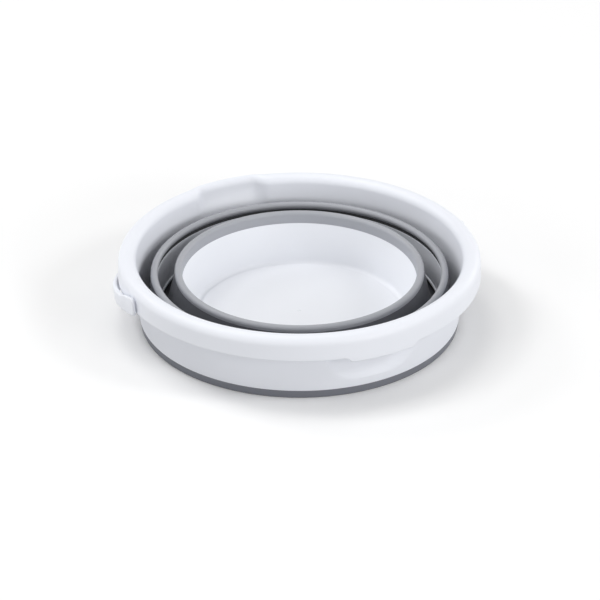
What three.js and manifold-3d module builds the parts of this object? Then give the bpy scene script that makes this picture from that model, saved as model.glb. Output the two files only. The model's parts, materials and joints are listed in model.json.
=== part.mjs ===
// Round collapsible bucket, folded flat, with its carrying bail laid back.
// Millimetres, +Z up. The origin is the centre of the base underside, on the floor.
// X is the bail's pivot axis, +Y the spout side and -Y the finger-grip side.

import * as THREE from 'three';
import { mergeVertices } from 'three/addons/utils/BufferGeometryUtils.js';
import Module from 'manifold-3d';

const wasm = await Module();
wasm.setup();

// Fineness
const FACETS = 60;
const COLLAR_FACETS = 96;
const ROUND_STEPS = 6;
const PIVOT_FACETS = 24;
const BAIL_STEPS = 48;

// Clearance between pieces that are moulded on to each other
const SEAM = 0.3;

// Collar: an upright wall that rolls over into a crown and a hanging skirt
const COLLAR_FOOT_R = 142.3;
const COLLAR_FLARE = 3.7;
const COLLAR_WALL = 2.5;
const RIM_TOP_Z = 67.3;
const CROWN_ROUND = 8;
const SKIRT_FLARE = 0.5;
const SKIRT_DROP = 13;
const WALL_ROWS = 8;
const SKIRT_ROWS = 2;

// Spout pressed into the inner edge of the rim
const SPOUT_WIDTH = 84;
const SPOUT_EASE = 16;
const SPOUT_PUSH = 7;
const SPOUT_HEIGHT = 34;

// Finger grip: a scoop in the collar wall under a lowered stretch of skirt
const GRIP_WIDTH = 100;
const GRIP_HEIGHT = 31;
const GRIP_DEPTH = 6.5;
const GRIP_SOFTNESS = 1;
const GRIP_LIP_WIDTH = 68;
const GRIP_LIP_EASE = 5;
const GRIP_LIP_DROP = 4.3;

// Soft band along the collar's lower edge
const BAND_HEIGHT = 7.3;
const BAND_WIDTH = 6.5;
const BAND_LEAN = 1;
const BAND_EDGE = 0.8;

// Upper fold: the soft wall between the collar band and the crest bead
const UPPER_FOLD_FOOT_Z = 3.2;
const UPPER_FOLD_LEAN = 4.3;
const UPPER_FOLD_WALL = 1.4;

// Crest bead, on the top of the middle ring
const CREST_ROUND = 3.2;
const CREST_LIP = 0.8;
const CREST_STEM = 3.3;

// How far a bead stands out over the fold that hangs from it
const BEAD_OVERHANG = 0.2;

// Middle ring: the stiff panel between the two folds
const RING_PANEL = 27;
const RING_NECK = 1.5;
const RING_NECK_HEIGHT = 1.7;
const RING_STEP = 1.8;
const RING_LEAN = 1.7;

// Trough lip, under the middle ring
const TROUGH_WALL = 1.8;
const TROUGH_FLOOR_Z = 3.6;
const TROUGH_RISE = 4;
const TROUGH_STAND = 5.1;
const TROUGH_RUN = 4;
const TROUGH_REACH = 5.5;

// Lower fold: the soft wall between the trough and the base band
const LOWER_FOLD_FOOT_Z = 3.8;
const LOWER_FOLD_LEAN = 7.6;
const LOWER_FOLD_WALL = 1.5;

// Base band: the soft rim of the base cup
const BASE_TOP_Z = 50.8;
const BASE_ROUND = 3.3;
const BASE_LIP = 2;
const BASE_BAND_DEPTH = 11;

// Base cup
const CUP_WALL = 2.4;
const CUP_TONGUE = 1.1;
const CUP_LEAN = 10.4;
const CUP_HEEL = 3.5;
const CUP_FLOOR = 5;
const CUP_FILLET = 9;

// Bail: a strap bent in a half circle, with a wide ear and a stud at each end
const BAIL_GAP = 1.6;
const BAIL_THICK = 4.2;
const BAIL_HEIGHT = 13;
const BAIL_EDGE = 1;
const BAIL_GRIP_LENGTH = 120;
const BAIL_GRIP_SWELL = 2.6;
const BAIL_FLOOR_GAP = 0.6;
const EAR_HEIGHT = 16;
const EAR_ROUND = 4.5;
const EAR_FREE_END = 9;
const EAR_BACK_END = 13;
const PIVOT_ABOVE_SKIRT = 4.4;
const STUD_R = 3.7;
const STUD_LENGTH = 8.5;
const STUD_PLAY = 0.35;
const SHOULDER_R = 6.5;
const BOSS_R = 7.5;
const BOSS_PROUD = 0.6;

// Levels and radii that follow from the sizes above, from the outside inwards
const crownZ = RIM_TOP_Z - CROWN_ROUND;
const skirtZ = crownZ - SKIRT_DROP;
const wallFootZ = BAND_HEIGHT + SEAM;
const wallHeadR = COLLAR_FOOT_R + COLLAR_FLARE;
const crownR = wallHeadR - COLLAR_WALL + CROWN_ROUND;
const skirtR = crownR + CROWN_ROUND + SKIRT_FLARE;
const bandInnerR = COLLAR_FOOT_R - BAND_WIDTH;
const upperFoldFootR = bandInnerR - SEAM;
const upperFoldHeadR = upperFoldFootR - UPPER_FOLD_LEAN;
const troughShoulderZ = TROUGH_FLOOR_Z + TROUGH_RISE;
const troughHeadZ = troughShoulderZ + TROUGH_STAND;
const ringFootZ = troughHeadZ + SEAM;
const ringStepZ = ringFootZ + RING_PANEL;
const ringHeadZ = ringStepZ + RING_NECK_HEIGHT;
const crestStemZ = ringHeadZ + SEAM;
const crestUnderZ = crestStemZ + CREST_STEM;
const crestZ = crestUnderZ + CREST_LIP;
const crestR = upperFoldHeadR + BEAD_OVERHANG - CREST_ROUND;
const upperFoldHeadZ = crestUnderZ - SEAM;
const ringHeadR = upperFoldHeadR - UPPER_FOLD_WALL - SEAM;
const ringFootR = ringHeadR - RING_LEAN;
const troughOuterR = ringFootR - SEAM;
const troughEndR = troughOuterR - TROUGH_RUN - TROUGH_REACH;
const lowerFoldFootR = troughEndR - SEAM;
const lowerFoldHeadR = lowerFoldFootR - LOWER_FOLD_LEAN;
const baseZ = BASE_TOP_Z - BASE_ROUND;
const baseUnderZ = baseZ - BASE_LIP;
const lowerFoldHeadZ = baseUnderZ - SEAM;
const baseR = lowerFoldHeadR + BEAD_OVERHANG - BASE_ROUND;
const tongueR = lowerFoldHeadR - LOWER_FOLD_WALL - SEAM;
const cupHeadZ = BASE_TOP_Z - BASE_BAND_DEPTH - SEAM;
const bandLegR = tongueR - CUP_TONGUE - SEAM;
const bandFaceR = baseR - BASE_ROUND;
const cupFootR = tongueR - CUP_LEAN;
const cupSlope = Math.atan2(bandFaceR - cupFootR + CUP_WALL, cupHeadZ - CUP_HEEL);
const pivotZ = skirtZ + PIVOT_ABOVE_SKIRT;
const bailInnerR = skirtR + BAIL_GAP;
const bailOuterR = bailInnerR + BAIL_THICK;
const bailDrop = pivotZ - BAIL_HEIGHT / 2 - BAIL_FLOOR_GAP;
const bailTilt = Math.asin(bailDrop / (bailOuterR + BAIL_GRIP_SWELL));

// Points of a round on a (radius, height) section, between two angles in degrees
function round(centreR, centreZ, size, fromDeg, toDeg) {
  const points = [];
  for (let i = 0; i <= ROUND_STEPS; i += 1) {
    const angle = THREE.MathUtils.degToRad(THREE.MathUtils.lerp(fromDeg, toDeg, i / ROUND_STEPS));
    points.push([centreR + size * Math.cos(angle), centreZ + size * Math.sin(angle)]);
  }
  return points;
}

// Points from one place to another on a section, without the last one
function run(from, to, rows) {
  const points = [];
  for (let i = 0; i < rows; i += 1) {
    const r = THREE.MathUtils.lerp(from[0], to[0], i / rows);
    const z = THREE.MathUtils.lerp(from[1], to[1], i / rows);
    points.push([r, z]);
  }
  return points;
}

// A geometry of positions alone, with its shared corners merged and no empty triangles
function closed(geometry) {
  geometry.deleteAttribute('normal');
  geometry.deleteAttribute('uv');
  const merged = mergeVertices(geometry);
  const index = merged.getIndex().array;
  const kept = [];
  for (let i = 0; i < index.length; i += 3) {
    const [a, b, c] = [index[i], index[i + 1], index[i + 2]];
    if (a !== b && b !== c && c !== a) kept.push(a, b, c);
  }
  merged.setIndex(kept);
  return merged;
}

// A section turned round the Z axis: outside upwards, inside downwards
function turned(section, facets = FACETS) {
  const points = section.map(([r, z]) => new THREE.Vector2(r, z));
  const geometry = new THREE.LatheGeometry(points, facets);
  geometry.rotateX(Math.PI / 2);
  return closed(geometry);
}

// A ring whose section closes on itself
function turnedRing(section, facets = FACETS) {
  return turned([...section, section[0]], facets);
}

function solid(geometry) {
  const merged = closed(geometry.clone());
  const vertProperties = new Float32Array(merged.getAttribute('position').array);
  const triVerts = new Uint32Array(merged.getIndex().array);
  return new wasm.Manifold(new wasm.Mesh({ numProp: 3, vertProperties, triVerts }));
}

function geometryOf(body) {
  const mesh = body.getMesh();
  const geometry = new THREE.BufferGeometry();
  geometry.setAttribute('position', new THREE.BufferAttribute(new Float32Array(mesh.vertProperties), 3));
  geometry.setIndex(Array.from(mesh.triVerts));
  return geometry;
}

// A round bar along X between two distances from the middle, on the side given by its sign
function pivotBar(radius, fromX, toX, side) {
  const bar = new THREE.CylinderGeometry(radius, radius, toX - fromX, PIVOT_FACETS);
  bar.rotateZ(Math.PI / 2);
  bar.translate((side * (fromX + toX)) / 2, 0, 0);
  return bar;
}

// 1 in the middle of a width, easing to 0 at its ends
function swell(along, width) {
  const share = Math.min(1, Math.abs(along) / (width / 2));
  return Math.cos((share * Math.PI) / 2) ** 2;
}

// 1 along a width, easing to 0 at its ends
function stretchOf(along, width, ease) {
  return 1 - THREE.MathUtils.smoothstep(Math.abs(along), width / 2 - ease, width / 2);
}

// Distance along the skirt from the middle of a feature that faces the given way on Y
function alongSkirt(x, y, facing) {
  return skirtR * Math.atan2(x, facing * y);
}

// Depth of the finger scoop in the collar wall, deepest under the middle of the lip
function gripScoop(along, z) {
  const across = Math.abs(along) / (GRIP_WIDTH / 2);
  const down = Math.max(0, skirtZ - z) / GRIP_HEIGHT;
  const inside = Math.max(0, 1 - across ** 4 - down ** 2);
  return GRIP_DEPTH * inside ** GRIP_SOFTNESS * (1 - THREE.MathUtils.smoothstep(z, skirtZ, crownZ));
}

// How far the spout moves a point of the rim outwards: most at its inner edge, not at all at its skirt
function spoutPush(along, r, z) {
  const rise = THREE.MathUtils.smoothstep(z, crownZ - SPOUT_HEIGHT, crownZ);
  const inward = THREE.MathUtils.clamp((skirtR - r) / (skirtR - wallHeadR + COLLAR_WALL), 0, 1);
  return SPOUT_PUSH * stretchOf(along, SPOUT_WIDTH, SPOUT_EASE) * rise * inward;
}

// Presses the spout and the finger grip into the turned collar
function shapeCollar(geometry) {
  const position = geometry.getAttribute('position');
  for (let i = 0; i < position.count; i += 1) {
    const x = position.getX(i);
    const y = position.getY(i);
    const z = position.getZ(i);
    const r = Math.hypot(x, y);
    const alongGrip = alongSkirt(x, y, -1);
    let push = spoutPush(alongSkirt(x, y, 1), r, z);
    let drop = 0;
    if (r < crownR) {
      push -= gripScoop(alongGrip, z);
    } else {
      const low = THREE.MathUtils.clamp((crownZ - z) / SKIRT_DROP, 0, 1);
      drop = GRIP_LIP_DROP * stretchOf(alongGrip, GRIP_LIP_WIDTH, GRIP_LIP_EASE) * low;
    }
    const scale = (r + push) / r;
    position.setXYZ(i, x * scale, y * scale, z - drop);
  }
  return geometry;
}

function collarGeometry() {
  const foot = COLLAR_FOOT_R;
  const insideR = crownR - CROWN_ROUND;
  const liningRound = CROWN_ROUND - COLLAR_WALL;
  const section = [
    ...run([foot, wallFootZ], [wallHeadR, crownZ], WALL_ROWS),
    ...round(crownR, crownZ, liningRound, 180, 0),
    ...run([skirtR - COLLAR_WALL, skirtZ], [skirtR, skirtZ], 1),
    ...run([skirtR, skirtZ], [crownR + CROWN_ROUND, crownZ], SKIRT_ROWS),
    ...round(crownR, crownZ, CROWN_ROUND, 0, 180),
    ...run([insideR, crownZ], [foot - COLLAR_WALL, wallFootZ], WALL_ROWS).slice(1),
    [foot - COLLAR_WALL, wallFootZ],
  ];
  let body = solid(shapeCollar(turnedRing(section, COLLAR_FACETS)));
  const pivotRise = (pivotZ - wallFootZ) / (crownZ - wallFootZ);
  const bossFrom = foot + COLLAR_FLARE * pivotRise - COLLAR_WALL / 2;
  const bossTo = skirtR + BOSS_PROUD;
  const boreFrom = skirtR - STUD_LENGTH - SEAM;
  for (const side of [-1, 1]) {
    const boss = pivotBar(BOSS_R, bossFrom, bossTo, side).translate(0, 0, pivotZ);
    const bore = pivotBar(STUD_R + STUD_PLAY, boreFrom, bossTo + BAIL_GAP, side).translate(0, 0, pivotZ);
    body = body.add(solid(boss)).subtract(solid(bore));
  }
  return geometryOf(body);
}

function collarBandGeometry() {
  const footR = COLLAR_FOOT_R - BAND_LEAN;
  return turnedRing([
    [bandInnerR + BAND_EDGE, 0],
    [footR - BAND_EDGE, 0],
    [footR, BAND_EDGE],
    [COLLAR_FOOT_R, BAND_HEIGHT],
    [bandInnerR, BAND_HEIGHT],
    [bandInnerR, BAND_EDGE],
  ]);
}

// A soft wall of even thickness that leans in from its foot to its head
function foldGeometry(footR, footZ, headR, headZ, seatZ, wall) {
  return turnedRing([
    [footR - wall, footZ],
    [footR, footZ],
    [footR, seatZ],
    [headR, headZ],
    [headR - wall, headZ],
    [footR - wall, seatZ],
  ]);
}

function crestBeadGeometry() {
  return turnedRing([
    [ringHeadR - RING_NECK, crestStemZ],
    [ringHeadR, crestStemZ],
    [ringHeadR, crestUnderZ],
    [upperFoldHeadR, crestUnderZ],
    ...round(crestR, crestZ, CREST_ROUND, 0, 180),
  ]);
}

function middleRingGeometry() {
  const wall = RING_NECK + RING_STEP;
  return turnedRing([
    [ringFootR - wall, ringFootZ],
    [ringFootR, ringFootZ],
    [ringHeadR, ringStepZ],
    [ringHeadR, ringHeadZ],
    [ringHeadR - RING_NECK, ringHeadZ],
    [ringHeadR - RING_NECK, ringStepZ],
    [ringHeadR - wall, ringStepZ],
  ]);
}

function troughLipGeometry() {
  const bendR = troughOuterR - TROUGH_RUN;
  return turnedRing([
    [troughEndR, TROUGH_FLOOR_Z],
    [bendR, TROUGH_FLOOR_Z],
    [troughOuterR, troughShoulderZ],
    [troughOuterR, troughHeadZ],
    [troughOuterR - TROUGH_WALL, troughHeadZ],
    [troughOuterR - TROUGH_WALL, troughShoulderZ + TROUGH_WALL / 2],
    [bendR - TROUGH_WALL / 2, TROUGH_FLOOR_Z + TROUGH_WALL],
    [troughEndR, TROUGH_FLOOR_Z + TROUGH_WALL],
  ]);
}

function baseBandGeometry() {
  return turnedRing([
    [bandLegR, cupHeadZ + SEAM],
    [bandLegR, baseUnderZ],
    [lowerFoldHeadR, baseUnderZ],
    ...round(baseR, baseZ, BASE_ROUND, 0, 180),
    [bandFaceR, cupHeadZ + SEAM],
  ]);
}

function baseCupGeometry() {
  const filletZ = CUP_FLOOR + CUP_FILLET;
  const wallR = cupFootR - CUP_WALL + (filletZ - CUP_HEEL) * Math.tan(cupSlope);
  const filletR = wallR - CUP_FILLET / Math.cos(cupSlope);
  const slopeDeg = THREE.MathUtils.radToDeg(cupSlope);
  return turned([
    [0, 0],
    [cupFootR - CUP_HEEL, 0],
    [cupFootR, CUP_HEEL],
    [tongueR, cupHeadZ],
    [tongueR, lowerFoldHeadZ],
    [tongueR - CUP_TONGUE, lowerFoldHeadZ],
    [tongueR - CUP_TONGUE, cupHeadZ],
    [bandFaceR, cupHeadZ],
    ...round(filletR, filletZ, CUP_FILLET, -slopeDeg, -90),
    [0, CUP_FLOOR],
  ]);
}

// The strap's outline in its own plane, extruded across its height with eased edges
function bailStrap() {
  const outline = new THREE.Shape();
  outline.moveTo(bailInnerR, -EAR_FREE_END / 2);
  outline.lineTo(bailOuterR, -EAR_FREE_END / 2);
  for (let i = 0; i <= BAIL_STEPS; i += 1) {
    const angle = (Math.PI * i) / BAIL_STEPS;
    const along = bailOuterR * (angle - Math.PI / 2);
    const r = bailOuterR + BAIL_GRIP_SWELL * swell(along, BAIL_GRIP_LENGTH);
    outline.lineTo(r * Math.cos(angle), r * Math.sin(angle));
  }
  outline.lineTo(-bailOuterR, -EAR_FREE_END / 2);
  outline.lineTo(-bailInnerR, -EAR_FREE_END / 2);
  for (let i = 0; i <= BAIL_STEPS; i += 1) {
    const angle = Math.PI - (Math.PI * i) / BAIL_STEPS;
    outline.lineTo(bailInnerR * Math.cos(angle), bailInnerR * Math.sin(angle));
  }
  const strap = new THREE.ExtrudeGeometry(outline, {
    depth: BAIL_HEIGHT - 2 * BAIL_EDGE,
    bevelEnabled: true,
    bevelSize: BAIL_EDGE,
    bevelOffset: -BAIL_EDGE,
    bevelThickness: BAIL_EDGE,
    bevelSegments: 1,
  });
  strap.translate(0, 0, BAIL_EDGE - BAIL_HEIGHT / 2);
  return strap;
}

// The wide ear round a pivot: a round-cornered plate, square to the pivot axis
function bailEar(side) {
  const half = EAR_HEIGHT / 2;
  const plate = new THREE.Shape();
  plate.moveTo(-EAR_FREE_END, EAR_ROUND - half);
  plate.absarc(EAR_ROUND - EAR_FREE_END, EAR_ROUND - half, EAR_ROUND, Math.PI, 1.5 * Math.PI);
  plate.absarc(EAR_BACK_END - EAR_ROUND, EAR_ROUND - half, EAR_ROUND, 1.5 * Math.PI, 2 * Math.PI);
  plate.absarc(EAR_BACK_END - EAR_ROUND, half - EAR_ROUND, EAR_ROUND, 0, 0.5 * Math.PI);
  plate.absarc(EAR_ROUND - EAR_FREE_END, half - EAR_ROUND, EAR_ROUND, 0.5 * Math.PI, Math.PI);
  const ear = new THREE.ExtrudeGeometry(plate, {
    depth: BAIL_THICK,
    bevelEnabled: false,
    curveSegments: ROUND_STEPS / 2,
  });
  ear.rotateX(Math.PI / 2);
  ear.rotateZ(Math.PI / 2);
  ear.translate(side > 0 ? bailInnerR : -bailOuterR, 0, 0);
  return ear;
}

function bailGeometry() {
  let body = solid(bailStrap());
  const studFrom = skirtR - STUD_LENGTH;
  const shoulderFrom = skirtR + BOSS_PROUD + SEAM;
  const rootX = bailInnerR + BAIL_THICK / 2;
  for (const side of [-1, 1]) {
    const stud = pivotBar(STUD_R, studFrom, rootX, side);
    const shoulder = pivotBar(SHOULDER_R, shoulderFrom, rootX, side);
    body = body.add(solid(bailEar(side))).add(solid(shoulder)).add(solid(stud));
  }
  return geometryOf(body);
}

const WHITE_PLASTIC = { color: 0xf0f1f6, roughness: 0.35, metalness: 0 };
const GREY_RUBBER = { color: 0x9a9ca4, roughness: 0.5, metalness: 0 };

function piece(name, geometry, finish) {
  geometry.computeVertexNormals();
  const mesh = new THREE.Mesh(geometry, new THREE.MeshStandardMaterial(finish));
  mesh.name = name;
  return mesh;
}

const upperFold = foldGeometry(
  upperFoldFootR, UPPER_FOLD_FOOT_Z, upperFoldHeadR, upperFoldHeadZ, BAND_HEIGHT, UPPER_FOLD_WALL,
);
const lowerFold = foldGeometry(
  lowerFoldFootR, LOWER_FOLD_FOOT_Z, lowerFoldHeadR, lowerFoldHeadZ, troughHeadZ, LOWER_FOLD_WALL,
);

const bail = new THREE.Group();
bail.add(piece('bail_handle', bailGeometry(), WHITE_PLASTIC));
bail.position.set(0, 0, pivotZ);
bail.rotation.x = -bailTilt;

const bucket = new THREE.Group();
bucket.add(piece('base_cup', baseCupGeometry(), WHITE_PLASTIC));
bucket.add(piece('base_rim_band', baseBandGeometry(), GREY_RUBBER));
bucket.add(piece('lower_fold', lowerFold, GREY_RUBBER));
bucket.add(piece('trough_lip', troughLipGeometry(), GREY_RUBBER));
bucket.add(piece('middle_ring', middleRingGeometry(), WHITE_PLASTIC));
bucket.add(piece('crest_bead', crestBeadGeometry(), GREY_RUBBER));
bucket.add(piece('upper_fold', upperFold, GREY_RUBBER));
bucket.add(piece('collar_band', collarBandGeometry(), GREY_RUBBER));
bucket.add(piece('collar', collarGeometry(), WHITE_PLASTIC));
bucket.add(bail);

export default bucket;
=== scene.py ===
"""Looks of a folded round bucket: glossy white collar, cup and bail, satin grey folding wall."""

import json
import math

import bmesh
import bpy
import numpy as np
from mathutils import Matrix, Vector


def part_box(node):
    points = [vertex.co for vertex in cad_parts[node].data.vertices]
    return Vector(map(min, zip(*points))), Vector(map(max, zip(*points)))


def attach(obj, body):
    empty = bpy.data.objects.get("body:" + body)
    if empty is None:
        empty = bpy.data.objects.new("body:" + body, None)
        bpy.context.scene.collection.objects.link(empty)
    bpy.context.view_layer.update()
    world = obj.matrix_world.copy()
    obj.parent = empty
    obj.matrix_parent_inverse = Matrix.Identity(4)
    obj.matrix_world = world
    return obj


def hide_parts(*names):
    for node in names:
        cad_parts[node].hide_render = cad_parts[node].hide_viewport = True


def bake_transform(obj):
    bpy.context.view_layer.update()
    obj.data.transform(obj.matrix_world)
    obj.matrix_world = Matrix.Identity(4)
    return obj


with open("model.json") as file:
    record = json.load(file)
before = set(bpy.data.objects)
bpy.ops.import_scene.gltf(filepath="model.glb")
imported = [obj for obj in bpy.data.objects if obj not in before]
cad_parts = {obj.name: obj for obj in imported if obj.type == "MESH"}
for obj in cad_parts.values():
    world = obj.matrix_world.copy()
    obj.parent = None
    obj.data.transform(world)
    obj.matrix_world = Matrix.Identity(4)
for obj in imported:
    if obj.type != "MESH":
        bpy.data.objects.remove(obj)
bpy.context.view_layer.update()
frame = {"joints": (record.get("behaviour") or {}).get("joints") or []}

MM = 0.001

# Fineness of the turned pieces
TURNS = 288
COLLAR_TURNS = 432
ARC_STEPS = 7
LONGEST_ROW = 1.8 * MM
SHARP_ANGLE = math.radians(18)
LONGEST_ROUND = 0.48
WELD = 0.001 * MM

# Camera, as fitted to the ring edges in the photograph
VIEW_AZIMUTH = math.radians(-26.5)
VIEW_ELEVATION = math.radians(29.02)
VIEW_DISTANCE = 2.2
VIEW_TARGET = Vector((0.4, -0.2, 16.2)) * MM
PIXELS_PER_METRE = 1124.5
FRAME_PIXELS = 600
SENSOR = 36.0

# Thicknesses and easings that the frame's boxes don't give
COLLAR_WALL = 2.5 * MM
CROWN_ROUND = 8.0 * MM
SKIRT_FLARE = 0.5 * MM
SKIRT_DROP = 13.0 * MM
SKIRT_EDGE = 1.1 * MM
BAND_LEAN = 1.0 * MM
BAND_EASE = 1.4 * MM
FOLD_WALL = 1.5 * MM
FOLD_EDGE = 0.5 * MM
FOLD_BEND = 3 * MM
BEAD_OVERHANG = 0.2 * MM
CREST_ROUND = 3.2 * MM
CREST_LIP = 0.8 * MM
CREST_UNDER = 250
RING_NECK = 1.5 * MM
RING_STEP = 1.8 * MM
RING_NECK_HEIGHT = 1.7 * MM
RING_LEAN = 1.7 * MM
RING_HEM = 1.3 * MM
RING_HEM_HEIGHT = 2.0 * MM
RING_HEM_FALL = 0.4 * MM
# Size of the near-black lip that paints the groove's shadow under the crest bead
PAINTED_SHADOW_HEIGHT = 3.0 * MM
PAINTED_SHADOW_INSET = 0.5 * MM
TROUGH_WALL = 1.8 * MM
TROUGH_RUN = 4.0 * MM
TROUGH_RISE = 4.0 * MM
BASE_ROUND = 3.3 * MM
BASE_LIP = 2 * MM
CUP_WALL = 2.4 * MM
CUP_TONGUE = 1.1 * MM
CUP_LEAN = 10.4 * MM
CUP_HEEL = 3.5 * MM
CUP_FLOOR = 5.0 * MM
CUP_FLOOR_R = 89 * MM
CUP_COVE = 5.0 * MM
MOAT_DEPTH = 2.2 * MM
MOAT_STEP = 0.5 * MM
GATE_R = 1.6 * MM
GATE_DEPTH = 0.4 * MM
SEAM = 0.3 * MM
HAIR = 0.1 * MM
EDGE_EASE = 0.4 * MM
HEEL_EASE = 3.0 * MM
TROUGH_EASE = 2.5 * MM

# Spout and finger grip of the collar
SPOUT_WIDTH = 84 * MM
SPOUT_EASE = 16 * MM
SPOUT_PUSH = 7 * MM
SPOUT_HEIGHT = 34 * MM
GRIP_WIDTH = 100 * MM
GRIP_HEIGHT = 31 * MM
GRIP_DEPTH = 6.5 * MM
GRIP_SOFTNESS = 1.0
GRIP_LIP_WIDTH = 68 * MM
GRIP_LIP_EASE = 5 * MM
GRIP_LIP_DROP = 4.3 * MM

# Bail
BAIL_THICK = 4.2 * MM
BAIL_HEIGHT = 13 * MM
BAIL_ROUND = 1.5 * MM
BAIL_STATIONS = 220
EAR_STATIONS = 10
CORNER_STEPS = 4
BAIL_GRIP_LENGTH = 120 * MM
BAIL_GRIP_SWELL = 2.6 * MM
EAR_HEIGHT = 16 * MM
EAR_THICK = 3.0 * MM
EAR_ROUND = 4.5 * MM
EAR_FREE_END = 9 * MM
EAR_BACK_END = 13 * MM
EAR_EASE = 7 * MM
EAR_GAP = 0.6 * MM
STRAP_GAP = 0.9 * MM
JOGGLE_START = 2 * MM
JOGGLE_END = 20 * MM
STUD_R = 3.7 * MM
STUD_LENGTH = 8.5 * MM
BORE_R = 4.05 * MM
BORE_TURNS = 48
STUD_CORE = 0.4 * MM
STUD_EASE = 0.8 * MM
SHOULDER_R = 6.5 * MM
BOSS_R = 7.5 * MM
BOSS_PROUD = 0.2 * MM


def outer_radius(node):
    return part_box(node)[1].y


def levels(node):
    low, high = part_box(node)
    return low.z, high.z


# Sections: lists of (radius, height), outside upwards and inside downwards

def arc(centre, size, start, end, steps=ARC_STEPS):
    points = []
    for i in range(steps + 1):
        angle = math.radians(start + (end - start) * i / steps)
        points.append((centre[0] + size * math.cos(angle), centre[1] + size * math.sin(angle)))
    return points


def eased(corners):
    """Section points of a closed run of (radius, height, ease) corners, each eased by a round."""
    points = []
    count = len(corners)
    for i, (r, z, ease) in enumerate(corners):
        here = Vector((r, z))
        before = Vector(corners[i - 1][:2]) - here
        after = Vector(corners[(i + 1) % count][:2]) - here
        if ease <= 0:
            points.append((r, z))
            continue
        half = before.angle(after) / 2
        reach = min(ease / math.tan(half), LONGEST_ROUND * before.length, LONGEST_ROUND * after.length)
        size = reach * math.tan(half)
        centre = here + (before.normalized() + after.normalized()).normalized() * (size / math.sin(half))
        first = here + before.normalized() * reach - centre
        last = here + after.normalized() * reach - centre
        start = math.atan2(first.y, first.x)
        sweep = math.remainder(math.atan2(last.y, last.x) - start, 2 * math.pi)
        for k in range(ARC_STEPS + 1):
            angle = start + sweep * k / ARC_STEPS
            points.append((centre.x + size * math.cos(angle), centre.y + size * math.sin(angle)))
    return points


def refined(points, closed=True):
    """The same section with rows added wherever two points lie far apart."""
    result = []
    ends = points[1:] + points[:1] if closed else points[1:] + points[-1:]
    for (r0, z0), (r1, z1) in zip(points, ends):
        rows = max(1, math.ceil(math.hypot(r1 - r0, z1 - z0) / LONGEST_ROW))
        for k in range(rows):
            result.append((r0 + (r1 - r0) * k / rows, z0 + (z1 - z0) * k / rows))
    return result


def new_object(name, mesh):
    obj = bpy.data.objects.new(name, mesh)
    bpy.context.scene.collection.objects.link(obj)
    return obj


def finish_mesh(name, vertices, faces):
    """An object with merged points, outward faces and smooth shading between sharp edges."""
    mesh = bpy.data.meshes.new(name)
    mesh.from_pydata([tuple(v) for v in vertices], [], faces)
    work = bmesh.new()
    work.from_mesh(mesh)
    bmesh.ops.remove_doubles(work, verts=work.verts, dist=WELD)
    bmesh.ops.recalc_face_normals(work, faces=work.faces)
    work.to_mesh(mesh)
    work.free()
    mesh.polygons.foreach_set("use_smooth", [True] * len(mesh.polygons))
    mesh.set_sharp_from_angle(angle=SHARP_ANGLE)
    return new_object(name, mesh)


def turned_points(section, turns):
    angles = np.linspace(0, 2 * math.pi, turns, endpoint=False)
    r = np.array([p[0] for p in section])
    z = np.array([p[1] for p in section])
    x = np.outer(np.cos(angles), r)
    y = np.outer(np.sin(angles), r)
    return np.stack([x, y, np.broadcast_to(z, x.shape)], axis=-1)


def turned(name, section, closed=True, shape=None, turns=TURNS):
    """A section turned round Z; shape, where given, moves the turned points."""
    points = turned_points(section, turns)
    if shape is not None:
        points = shape(points)
    rows = len(section)
    faces = []
    for i in range(turns):
        a = i * rows
        b = (i + 1) % turns * rows
        for k in range(rows if closed else rows - 1):
            n = (k + 1) % rows
            faces.append((a + k, b + k, b + n, a + n))
    return finish_mesh(name, points.reshape(-1, 3), faces)


def smoothstep(value, low, high):
    t = np.clip((value - low) / (high - low), 0, 1)
    return t * t * (3 - 2 * t)


def swell(along, width):
    """1 in the middle of a width, easing to 0 at its ends."""
    share = np.minimum(1, np.abs(along) / (width / 2))
    return np.cos(share * math.pi / 2) ** 2


def stretch_of(along, width, ease):
    """1 along a width, easing to 0 at its ends."""
    return 1 - smoothstep(np.abs(along), width / 2 - ease, width / 2)


# White parts

SKIRT_R = outer_radius("collar")
WALL_FOOT_Z, RIM_TOP_Z = levels("collar")
CROWN_Z = RIM_TOP_Z - CROWN_ROUND
CROWN_R = SKIRT_R - SKIRT_FLARE - CROWN_ROUND
WALL_HEAD_R = CROWN_R - CROWN_ROUND + COLLAR_WALL
FOOT_R = outer_radius("collar_band")
PIVOT = Vector(next(j["pos_m"] for j in frame["joints"] if j["name"] == "bail_swing"))
SWING = next(j["range_deg"] for j in frame["joints"] if j["name"] == "bail_swing")
BAIL_TILT = math.radians((SWING[1] - 180) / 2)
BAIL_OUTER_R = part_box("bail_handle")[1].x
SKIRT_Z = CROWN_Z - SKIRT_DROP
BAND_FACE_R = outer_radius("base_rim_band") - 2 * BASE_ROUND


def grip_scoop(along, z):
    """Depth of the finger scoop in the collar wall, deepest under the middle of the lip."""
    across = np.abs(along) / (GRIP_WIDTH / 2)
    down = np.clip((SKIRT_Z - z) / GRIP_HEIGHT, 0, None)
    inside = np.clip(1 - across ** 4 - down ** 2, 0, None)
    return GRIP_DEPTH * inside ** GRIP_SOFTNESS * (1 - smoothstep(z, SKIRT_Z, CROWN_Z))


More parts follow.
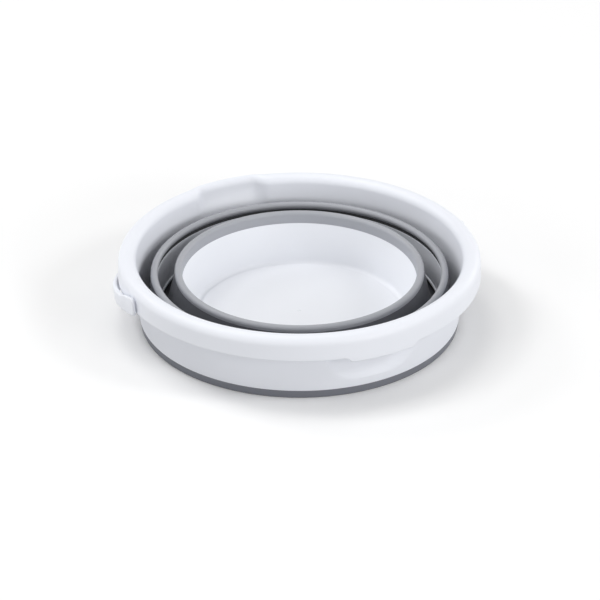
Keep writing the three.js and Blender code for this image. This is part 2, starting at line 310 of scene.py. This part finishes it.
def shape_collar(points):
    x, y, z = points[..., 0], points[..., 1], points[..., 2]
    r = np.hypot(x, y)
    spout = stretch_of(SKIRT_R * np.arctan2(x, y), SPOUT_WIDTH, SPOUT_EASE)
    along = SKIRT_R * np.arctan2(x, -y)
    inward = np.clip((SKIRT_R - r) / (SKIRT_R - WALL_HEAD_R + COLLAR_WALL), 0, 1)
    push = SPOUT_PUSH * spout * smoothstep(z, CROWN_Z - SPOUT_HEIGHT, CROWN_Z) * inward
    push = push - np.where(r < CROWN_R, grip_scoop(along, z), 0)
    low = np.clip((CROWN_Z - z) / SKIRT_DROP, 0, 1)
    lip = GRIP_LIP_DROP * stretch_of(along, GRIP_LIP_WIDTH, GRIP_LIP_EASE)
    drop = np.where(r < CROWN_R, 0, lip * low)
    scale = (r + push) / r
    return np.stack([x * scale, y * scale, z - drop], axis=-1)


def make_collar():
    inside = CROWN_R - CROWN_ROUND
    skirt = eased([
        (CROWN_R + CROWN_ROUND - COLLAR_WALL, CROWN_Z, 0),
        (SKIRT_R - COLLAR_WALL, SKIRT_Z, SKIRT_EDGE),
        (SKIRT_R, SKIRT_Z, SKIRT_EDGE),
        (CROWN_R + CROWN_ROUND, CROWN_Z, 0),
    ])[1:-1]
    foot = eased([
        (inside, CROWN_Z, 0),
        (FOOT_R - COLLAR_WALL, WALL_FOOT_Z, EDGE_EASE),
        (FOOT_R, WALL_FOOT_Z, EDGE_EASE),
        (WALL_HEAD_R, CROWN_Z, 0),
    ])[1:-1]
    section = foot
    section += arc((CROWN_R, CROWN_Z), CROWN_ROUND - COLLAR_WALL, 180, 0, 2 * ARC_STEPS)
    section += skirt
    section += arc((CROWN_R, CROWN_Z), CROWN_ROUND, 0, 180, 3 * ARC_STEPS)
    collar = turned("collar_shell", refined(section), shape=shape_collar, turns=COLLAR_TURNS)
    return bored(bored(collar, -1), 1)


def make_base_cup():
    outer = outer_radius("base_cup")
    head_z = levels("base_rim_band")[0] - HAIR
    tongue_z = levels("base_cup")[1]
    foot = outer - CUP_LEAN
    slope = math.atan2(BAND_FACE_R - foot + CUP_WALL, head_z - CUP_HEEL)
    moat_z = CUP_FLOOR - MOAT_DEPTH
    cove_top_z = moat_z + CUP_COVE * (1 - math.sin(slope))
    cove_top_r = foot - CUP_WALL + (cove_top_z - CUP_HEEL) * math.tan(slope)
    cove_centre = (cove_top_r - CUP_COVE * math.cos(slope), moat_z + CUP_COVE)
    section = eased([
        (0, 0, 0),
        (foot - CUP_HEEL, 0, HEEL_EASE),
        (foot, CUP_HEEL, HEEL_EASE),
        (outer, head_z, 0),
    ])
    section += [
        (outer, tongue_z),
        (outer - CUP_TONGUE, tongue_z),
        (outer - CUP_TONGUE, head_z),
        (BAND_FACE_R + HAIR, head_z),
    ]
    section += arc(cove_centre, CUP_COVE, -math.degrees(slope), -90, 2 * ARC_STEPS)
    section += eased([
        (CUP_FLOOR_R + MOAT_STEP, moat_z, 0),
        (CUP_FLOOR_R, CUP_FLOOR, HAIR),
        (GATE_R + GATE_DEPTH, CUP_FLOOR, GATE_DEPTH / 2),
        (GATE_R, CUP_FLOOR - GATE_DEPTH, GATE_DEPTH / 2),
        (0, CUP_FLOOR - GATE_DEPTH, 0),
    ])
    return turned("cup_shell", refined(section, closed=False), closed=False)


# Soft parts

def make_collar_band():
    low, high = levels("collar_band")
    inner = outer_radius("upper_fold") + SEAM
    return turned("collar_hem", refined(eased([
        (inner, low, BAND_EASE),
        (FOOT_R - BAND_LEAN, low, BAND_EASE),
        (FOOT_R, high + SEAM, EDGE_EASE),
        (inner, high + SEAM, EDGE_EASE),
    ])))


def make_fold(name, node, head_r, seat_z):
    low, high = levels(node)
    foot = outer_radius(node)
    return turned(name, refined(eased([
        (foot - FOLD_WALL, low, FOLD_EDGE),
        (foot + SEAM, low, FOLD_EDGE),
        (foot + SEAM, seat_z, FOLD_BEND),
        (head_r, high + SEAM, 0),
        (head_r - FOLD_WALL, high + SEAM, 0),
        (foot - FOLD_WALL, seat_z, FOLD_BEND),
    ])))


def make_crest_bead():
    outer = outer_radius("crest_bead")
    low, high = levels("crest_bead")
    stem = outer_radius("middle_ring")
    centre = (outer - CREST_ROUND, high - CREST_ROUND)
    section = [
        (stem - RING_NECK, low - SEAM),
        (stem, low - SEAM),
        (stem, centre[1] - CREST_LIP),
        (outer - BEAD_OVERHANG, centre[1] - CREST_LIP),
    ]
    section += arc(centre, CREST_ROUND, 0, CREST_UNDER, 4 * ARC_STEPS)
    return turned("crest_roll", refined(section))


def make_middle_ring():
    head = outer_radius("middle_ring")
    low, high = levels("middle_ring")
    step_z = high - RING_NECK_HEIGHT
    wall = RING_NECK + RING_STEP
    foot = head - RING_LEAN
    return turned("ring_panel", refined(eased([
        (foot - wall - RING_HEM, low, EDGE_EASE),
        (foot, low, EDGE_EASE),
        (head, step_z, RING_NECK),
        (head, high, 0),
        (head - RING_NECK, high, 0),
        (head - RING_NECK, step_z, 0),
        (head - wall, step_z, EDGE_EASE),
        (foot - wall, low + RING_HEM_HEIGHT + RING_HEM_FALL, EDGE_EASE),
        (foot - wall - RING_HEM, low + RING_HEM_HEIGHT, EDGE_EASE),
    ])))


def make_crest_painted_shadow():
    """Near-black lip under the crest bead, in the step at the head of the panel: a painted shadow
    standing for the dark groove there.
    """
    head = outer_radius("middle_ring")
    step_z = levels("middle_ring")[1] - RING_NECK_HEIGHT
    back = head - RING_NECK + SEAM
    return turned("crest_painted_shadow", refined([
        (back, step_z - HAIR),
        (back, step_z + PAINTED_SHADOW_HEIGHT),
        (back - SEAM - HAIR, step_z + PAINTED_SHADOW_HEIGHT),
        (head - RING_NECK - RING_STEP + PAINTED_SHADOW_INSET, step_z + HAIR),
        (head - RING_NECK - RING_STEP + PAINTED_SHADOW_INSET, step_z - HAIR),
    ]))


def make_trough_lip():
    outer = outer_radius("trough_lip")
    low, high = levels("trough_lip")
    end = outer_radius("lower_fold") + SEAM
    bend = outer - TROUGH_RUN
    shoulder = low + TROUGH_RISE
    return turned("trough_roll", refined(eased([
        (end, low, EDGE_EASE),
        (bend, low, TROUGH_EASE),
        (outer, shoulder, TROUGH_EASE),
        (outer, high + SEAM, EDGE_EASE),
        (outer - TROUGH_WALL, high + SEAM, EDGE_EASE),
        (outer - TROUGH_WALL, shoulder + TROUGH_WALL / 2, TROUGH_EASE),
        (bend - TROUGH_WALL / 2, low + TROUGH_WALL, TROUGH_EASE),
        (end, low + TROUGH_WALL, EDGE_EASE),
    ])))


def make_base_band():
    outer = outer_radius("base_rim_band")
    low, high = levels("base_rim_band")
    leg = outer_radius("base_cup") - CUP_TONGUE - SEAM
    centre = (outer - BASE_ROUND, high - BASE_ROUND)
    under = centre[1] - BASE_LIP
    section = [
        (leg, low),
        (leg, under),
        (outer - BEAD_OVERHANG, under),
    ]
    section += arc(centre, BASE_ROUND, 0, 180, 3 * ARC_STEPS)
    section.append((BAND_FACE_R, low))
    return turned("base_roll", refined(section))


# Bail

def bail_section(thick, height, corner):
    """Points of a round-cornered strap section: (from the inside outwards, across)."""
    points = []
    for sign_u, sign_w, start in ((1, -1, -90), (1, 1, 0), (-1, 1, 90), (-1, -1, 180)):
        centre = (thick / 2 + sign_u * (thick / 2 - corner), sign_w * (height / 2 - corner))
        points += arc(centre, corner, start, start + 90, CORNER_STEPS)
    return points


def bail_stations():
    """Distance along the strap from its free ends, with the place and the way out there."""
    half = math.pi / 2 * BAIL_OUTER_R + EAR_FREE_END
    ease = np.linspace(0, 1, EAR_STATIONS) ** 2 * EAR_ROUND
    run = np.concatenate([ease[:-1], np.linspace(EAR_ROUND, half, BAIL_STATIONS // 2)])
    for side in (1, -1):
        for from_end in run if side > 0 else run[-2::-1]:
            back = from_end - EAR_FREE_END
            angle = max(back, 0) / BAIL_OUTER_R
            out = Vector((side * math.cos(angle), math.sin(angle), 0))
            gap = EAR_GAP + (STRAP_GAP - EAR_GAP) * float(smoothstep(back, JOGGLE_START, JOGGLE_END))
            place = out * (SKIRT_R + gap) + Vector((0, min(back, 0), 0))
            yield from_end, half - from_end, place, out


def bail_strap_section(from_end, from_middle):
    """Section at a place along the strap, set in where the free end is rounded off."""
    ear_end = EAR_FREE_END + EAR_BACK_END
    ear = 1 - float(smoothstep(from_end, ear_end - EAR_EASE, ear_end + EAR_EASE))
    height = BAIL_HEIGHT + (EAR_HEIGHT - BAIL_HEIGHT) * ear
    thick = BAIL_THICK + (EAR_THICK - BAIL_THICK) * ear
    thick += BAIL_GRIP_SWELL * float(swell(from_middle, BAIL_GRIP_LENGTH))
    cut = max(0.0, EAR_ROUND - from_end)
    height -= 2 * (EAR_ROUND - math.sqrt(max(EAR_ROUND ** 2 - cut ** 2, 0)))
    edge = max(0.0, BAIL_ROUND - from_end)
    inset = (BAIL_ROUND - math.sqrt(max(BAIL_ROUND ** 2 - edge ** 2, 0))) / 2
    corner = BAIL_ROUND - inset
    return inset, bail_section(thick - 2 * inset, height - 2 * inset, corner)


def make_bail():
    vertices = []
    rings = 0
    for from_end, from_middle, place, out in bail_stations():
        inset, section = bail_strap_section(from_end, from_middle)
        for u, w in section:
            vertices.append(place + out * (u + inset) + Vector((0, 0, w)))
        rings += 1
    count = len(vertices) // rings
    faces = [tuple(range(count)), tuple((rings - 1) * count + k for k in range(count))]
    for i in range(rings - 1):
        for k in range(count):
            n = (k + 1) % count
            faces.append((i * count + k, i * count + n, (i + 1) * count + n, (i + 1) * count + k))
    bail = finish_mesh("bail_strap", vertices, faces)
    lay_back(bail)
    return bail


def lay_back(obj):
    """Puts a piece made in the bail's own plane where the bail rests."""
    obj.data.transform(Matrix.Translation(PIVOT) @ Matrix.Rotation(-BAIL_TILT, 4, "X"))


def turned_on_pivot(name, section, side, closed=True, turns=TURNS):
    """A section of (radius, distance from the middle) turned round the pivot axis."""
    obj = turned(name, section, closed, turns=turns)
    aim = Matrix.Rotation(side * math.pi / 2, 4, "Y")
    obj.data.transform(Matrix.Translation(PIVOT) @ aim)
    return obj


def bored(obj, side):
    """The piece with the bore of a pivot cut through its outer wall."""
    start = SKIRT_R - STUD_LENGTH - SEAM
    end = SKIRT_R + STUD_LENGTH
    section = [(0, start), (BORE_R, start), (BORE_R, end), (0, end)]
    bore = turned_on_pivot("pivot_bore", section, side, closed=False, turns=BORE_TURNS)
    cut = obj.modifiers.new("pivot_bore", "BOOLEAN")
    cut.operation = "DIFFERENCE"
    cut.object = bore
    name = obj.name
    mesh = obj.evaluated_get(bpy.context.evaluated_depsgraph_get()).to_mesh()
    vertices = [v.co.copy() for v in mesh.vertices]
    faces = [tuple(face.vertices) for face in mesh.polygons]
    for used in (obj, bore):
        bpy.data.meshes.remove(used.data)
    return finish_mesh(name, vertices, faces)


def make_boss(side):
    start = WALL_HEAD_R - COLLAR_WALL / 2
    end = SKIRT_R + BOSS_PROUD
    depth = SKIRT_R - STUD_LENGTH - SEAM
    name = "pivot_boss_right" if side > 0 else "pivot_boss_left"
    return turned_on_pivot(name, eased([
        (BORE_R, depth, 0),
        (BOSS_R, start, 0),
        (BOSS_R, end, EDGE_EASE),
        (BORE_R, end, EDGE_EASE),
    ]), side)


def make_stud(side):
    root = SKIRT_R + EAR_GAP + EAR_THICK / 2
    tip = SKIRT_R - STUD_LENGTH
    shoulder = SKIRT_R + BOSS_PROUD + SEAM
    name = "bail_stud_right" if side > 0 else "bail_stud_left"
    return turned_on_pivot(name, eased([
        (STUD_CORE, tip, 0),
        (STUD_R, tip, STUD_EASE),
        (STUD_R, shoulder, 0),
        (SHOULDER_R, shoulder, EDGE_EASE),
        (SHOULDER_R, root, 0),
        (STUD_CORE, root, 0),
    ]), side)


# Materials

PATCH_NOISE = {"Scale": 22.0, "Detail": 4.0, "Roughness": 0.55}
RUBBING_NOISE = {"Scale": 140.0, "Detail": 6.0, "Roughness": 0.65}
RUBBING_SPAN = (0.3, 0.7)
GRAIN_NOISE = {"Detail": 3.0, "Roughness": 0.5}
GRAIN_STRENGTH = 0.5


def add(nodes, kind, **inputs):
    node = nodes.new(kind)
    for name, value in inputs.items():
        node.inputs[name].default_value = value
    return node


def shaded(colour, share):
    return tuple(c * share for c in colour) + (1.0,)


def mottled_colour(tree, where, shader, colour, mottling):
    """Soft, wide patches a little darker and lighter than the colour."""
    patches = add(tree.nodes, "ShaderNodeTexNoise", **PATCH_NOISE)
    tree.links.new(where, patches.inputs["Vector"])
    tint = tree.nodes.new("ShaderNodeMix")
    tint.data_type = "RGBA"
    tint.inputs["A"].default_value = shaded(colour, 1 - mottling)
    tint.inputs["B"].default_value = shaded(colour, 1 + mottling)
    tree.links.new(patches.outputs["Fac"], tint.inputs["Factor"])
    tree.links.new(tint.outputs["Result"], shader.inputs["Base Color"])


def uneven_gloss(tree, where, shader, low, high):
    """Roughness that wanders between two values, as handling leaves it."""
    rubbing = add(tree.nodes, "ShaderNodeTexNoise", **RUBBING_NOISE)
    tree.links.new(where, rubbing.inputs["Vector"])
    gloss = tree.nodes.new("ShaderNodeMapRange")
    gloss.inputs["From Min"].default_value = RUBBING_SPAN[0]
    gloss.inputs["From Max"].default_value = RUBBING_SPAN[1]
    gloss.inputs["To Min"].default_value = low
    gloss.inputs["To Max"].default_value = high
    tree.links.new(rubbing.outputs["Fac"], gloss.inputs["Value"])
    tree.links.new(gloss.outputs["Result"], shader.inputs["Roughness"])


def fine_grain(tree, where, shader, size, depth):
    """The faint grain of the mould's face."""
    grain = add(tree.nodes, "ShaderNodeTexNoise", Scale=1.0 / size, **GRAIN_NOISE)
    tree.links.new(where, grain.inputs["Vector"])
    bump = add(tree.nodes, "ShaderNodeBump", Strength=GRAIN_STRENGTH, Distance=depth)
    tree.links.new(grain.outputs["Fac"], bump.inputs["Height"])
    tree.links.new(bump.outputs["Normal"], shader.inputs["Normal"])


def moulded(name, colour, rough, mottling, grain_size, grain_depth):
    """A moulded surface: soft mottling in the colour, uneven gloss and a fine grain."""
    material = bpy.data.materials.new(name)
    material.use_nodes = True
    tree = material.node_tree
    shader = tree.nodes["Principled BSDF"]
    where = tree.nodes.new("ShaderNodeTexCoord").outputs["Object"]
    mottled_colour(tree, where, shader, colour, mottling)
    uneven_gloss(tree, where, shader, *rough)
    fine_grain(tree, where, shader, grain_size, grain_depth)
    return material


# Finishes: mottling as a share of the colour, size and depth of the grain
HARD = (0.004, 1.2 * MM, 0.004 * MM)
SOFT = (0.03, 0.7 * MM, 0.012 * MM)

# Materials: name, colour, lowest and highest roughness, finish
WHITE = moulded("white_polypropylene", (0.83, 0.85, 0.905), (0.42, 0.52), *HARD)
# Cup white: the collar's white plastic made a little lighter and more neutral, as painted light on the
# cup's floor and walls
CUP_WHITE_PAINTED_LIGHT = moulded("white_polypropylene_cup_painted_light", (0.845, 0.861, 0.9), (0.42, 0.52), *HARD)
GREY_SOFT = moulded("grey_elastomer", (0.355, 0.365, 0.395), (0.42, 0.56), *SOFT)
# Fold grey: the same grey elastomer darkened to about a quarter, as painted shade in the deep folds and
# the trough
GREY_FOLD_PAINTED_SHADE = moulded("grey_elastomer_fold_painted_shade", (0.09, 0.094, 0.107), (0.48, 0.62), *SOFT)
# Near-black elastomer: painted shadow of the groove between the crest bead and the panel
GREY_PAINTED_GROOVE_SHADOW = moulded("grey_elastomer_painted_groove_shadow", (0.02, 0.021, 0.025), (0.55, 0.68), *SOFT)
# Hem grey: the same grey elastomer made darker, as painted shade on the hem low by the floor
GREY_HEM_PAINTED_SHADE = moulded("grey_elastomer_hem_painted_shade", (0.17, 0.178, 0.205), (0.46, 0.60), *SOFT)


def place(obj, body, material, slot, *nodes):
    obj.data.materials.append(material)
    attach(obj, body)
    if nodes:
        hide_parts(*nodes)


def stretch(obj, material, node):
    """A fold skin given its material, its transform baked in, and the part it stands in for hidden."""
    obj.data.materials.append(material)
    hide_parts(node)
    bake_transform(obj)


place(make_collar(), "rim", WHITE, "white_plastic", "collar")
place(make_collar_band(), "rim", GREY_HEM_PAINTED_SHADE, "grey_elastomer", "collar_band")
place(make_crest_bead(), "ring", GREY_SOFT, "grey_elastomer", "crest_bead")
place(make_middle_ring(), "ring", WHITE, "white_plastic", "middle_ring")
place(make_crest_painted_shadow(), "ring", GREY_PAINTED_GROOVE_SHADOW, "grey_elastomer")
place(make_trough_lip(), "ring", GREY_FOLD_PAINTED_SHADE, "grey_elastomer", "trough_lip")
place(make_base_band(), "base", GREY_SOFT, "grey_elastomer", "base_rim_band")
place(make_base_cup(), "base", CUP_WHITE_PAINTED_LIGHT, "white_plastic", "base_cup")
place(make_bail(), "bail", WHITE, "white_plastic", "bail_handle")
for pivot_side in (-1, 1):
    place(make_boss(pivot_side), "rim", WHITE, "white_plastic")
    place(make_stud(pivot_side), "bail", WHITE, "white_plastic")

UPPER_HEAD_R = outer_radius("crest_bead") - BEAD_OVERHANG
LOWER_HEAD_R = outer_radius("base_rim_band") - BEAD_OVERHANG
stretch(make_fold("upper_skin", "upper_fold", UPPER_HEAD_R, levels("collar_band")[1]),
        GREY_FOLD_PAINTED_SHADE, "upper_fold")
stretch(make_fold("lower_skin", "lower_fold", LOWER_HEAD_R, levels("trough_lip")[1]),
        GREY_FOLD_PAINTED_SHADE, "lower_fold")


# Floor, light and camera

LAMP_DISTANCE = 4.5
SMALL_BOX = 1.1
WIDE_BOX = 2.0
WORLD_LEVEL = 0.38
WORLD_WHITE = 1.0
FLOOR_HALF = 3.0
FLOOR_WHITE = 0.97
FLOOR_BOUNCE = 0.55
FLOOR_ROUGHNESS = 0.9

# Softboxes: name, size across in metres, azimuth and elevation in degrees, power in watts
SOFTBOXES = (
    ("key_box", SMALL_BOX, 252, 54, 19),
    ("right_box", SMALL_BOX, 72, 36, 33),
    ("back_left_box", SMALL_BOX, 236, 34, 25),
    ("high_left_box", WIDE_BOX, 270, 54, 22),
    ("low_front_right_box", WIDE_BOX, 45, 16, 68),
    ("low_back_right_box", WIDE_BOX, 135, 16, 28),
    ("low_left_box", WIDE_BOX, 270, 16, 18),
    ("low_front_left_box", WIDE_BOX, 315, 16, 29),
    ("top_box", WIDE_BOX, 225, 74, 37),
)


def direction(azimuth, elevation):
    """The way from the origin to a place seen at an azimuth and an elevation."""
    flat = math.cos(elevation)
    return Vector((math.sin(azimuth) * flat, -math.cos(azimuth) * flat, math.sin(elevation)))


def seen_colour(tree, bounced, seen):
    """A grey for light that bounces on and a lighter one for what is looked at or mirrored."""
    rays = tree.nodes.new("ShaderNodeLightPath")
    either = tree.nodes.new("ShaderNodeMath")
    either.operation = "MAXIMUM"
    mirrored = tree.nodes.new("ShaderNodeMath")
    mirrored.operation = "MAXIMUM"
    tree.links.new(rays.outputs["Is Glossy Ray"], mirrored.inputs[0])
    tree.links.new(rays.outputs["Is Transmission Ray"], mirrored.inputs[1])
    tree.links.new(rays.outputs["Is Camera Ray"], either.inputs[0])
    tree.links.new(mirrored.outputs["Value"], either.inputs[1])
    mix = tree.nodes.new("ShaderNodeMix")
    mix.data_type = "RGBA"
    mix.inputs["A"].default_value = (bounced, bounced, bounced, 1)
    mix.inputs["B"].default_value = (seen, seen, seen, 1)
    tree.links.new(either.outputs["Value"], mix.inputs["Factor"])
    return mix.outputs["Result"]


def make_floor():
    mesh = bpy.data.meshes.new("floor")
    signs = ((-1, -1), (1, -1), (1, 1), (-1, 1))
    mesh.from_pydata([(x * FLOOR_HALF, y * FLOOR_HALF, 0) for x, y in signs], [], [(0, 1, 2, 3)])
    floor = new_object("floor", mesh)
    material = bpy.data.materials.new("floor_white")
    material.use_nodes = True
    tree = material.node_tree
    shader = tree.nodes["Principled BSDF"]
    tree.links.new(seen_colour(tree, FLOOR_BOUNCE, FLOOR_WHITE), shader.inputs["Base Color"])
    shader.inputs["Roughness"].default_value = FLOOR_ROUGHNESS
    shader.inputs["Specular IOR Level"].default_value = 0.0
    floor.data.materials.append(material)


def make_lamp(name, size, azimuth, elevation, power):
    """A round softbox aimed at the origin; its azimuth is counted from the camera's."""
    lamp = bpy.data.lights.new(name, "AREA")
    lamp.shape = "DISK"
    lamp.size = size
    lamp.energy = power
    obj = bpy.data.objects.new(name, lamp)
    bpy.context.scene.collection.objects.link(obj)
    away = direction(VIEW_AZIMUTH + math.radians(azimuth), math.radians(elevation))
    obj.location = away * LAMP_DISTANCE
    obj.rotation_euler = away.to_track_quat("Z", "Y").to_euler()


def make_world():
    world = bpy.data.worlds.new("studio")
    bpy.context.scene.world = world
    world.use_nodes = True
    tree = world.node_tree
    background = tree.nodes["Background"]
    tree.links.new(seen_colour(tree, WORLD_LEVEL, WORLD_WHITE), background.inputs["Color"])


def make_camera():
    camera = bpy.data.cameras.new("photo_camera")
    camera.sensor_width = SENSOR
    camera.lens = SENSOR * PIXELS_PER_METRE * VIEW_DISTANCE / FRAME_PIXELS
    obj = bpy.data.objects.new("photo_camera", camera)
    bpy.context.scene.collection.objects.link(obj)
    away = direction(VIEW_AZIMUTH, VIEW_ELEVATION)
    obj.location = VIEW_TARGET + away * VIEW_DISTANCE
    obj.rotation_euler = away.to_track_quat("Z", "Y").to_euler()
    bpy.context.scene.camera = obj


make_floor()
for softbox in SOFTBOXES:
    make_lamp(*softbox)
make_world()
make_camera()
bpy.context.scene.view_settings.view_transform = "Standard"
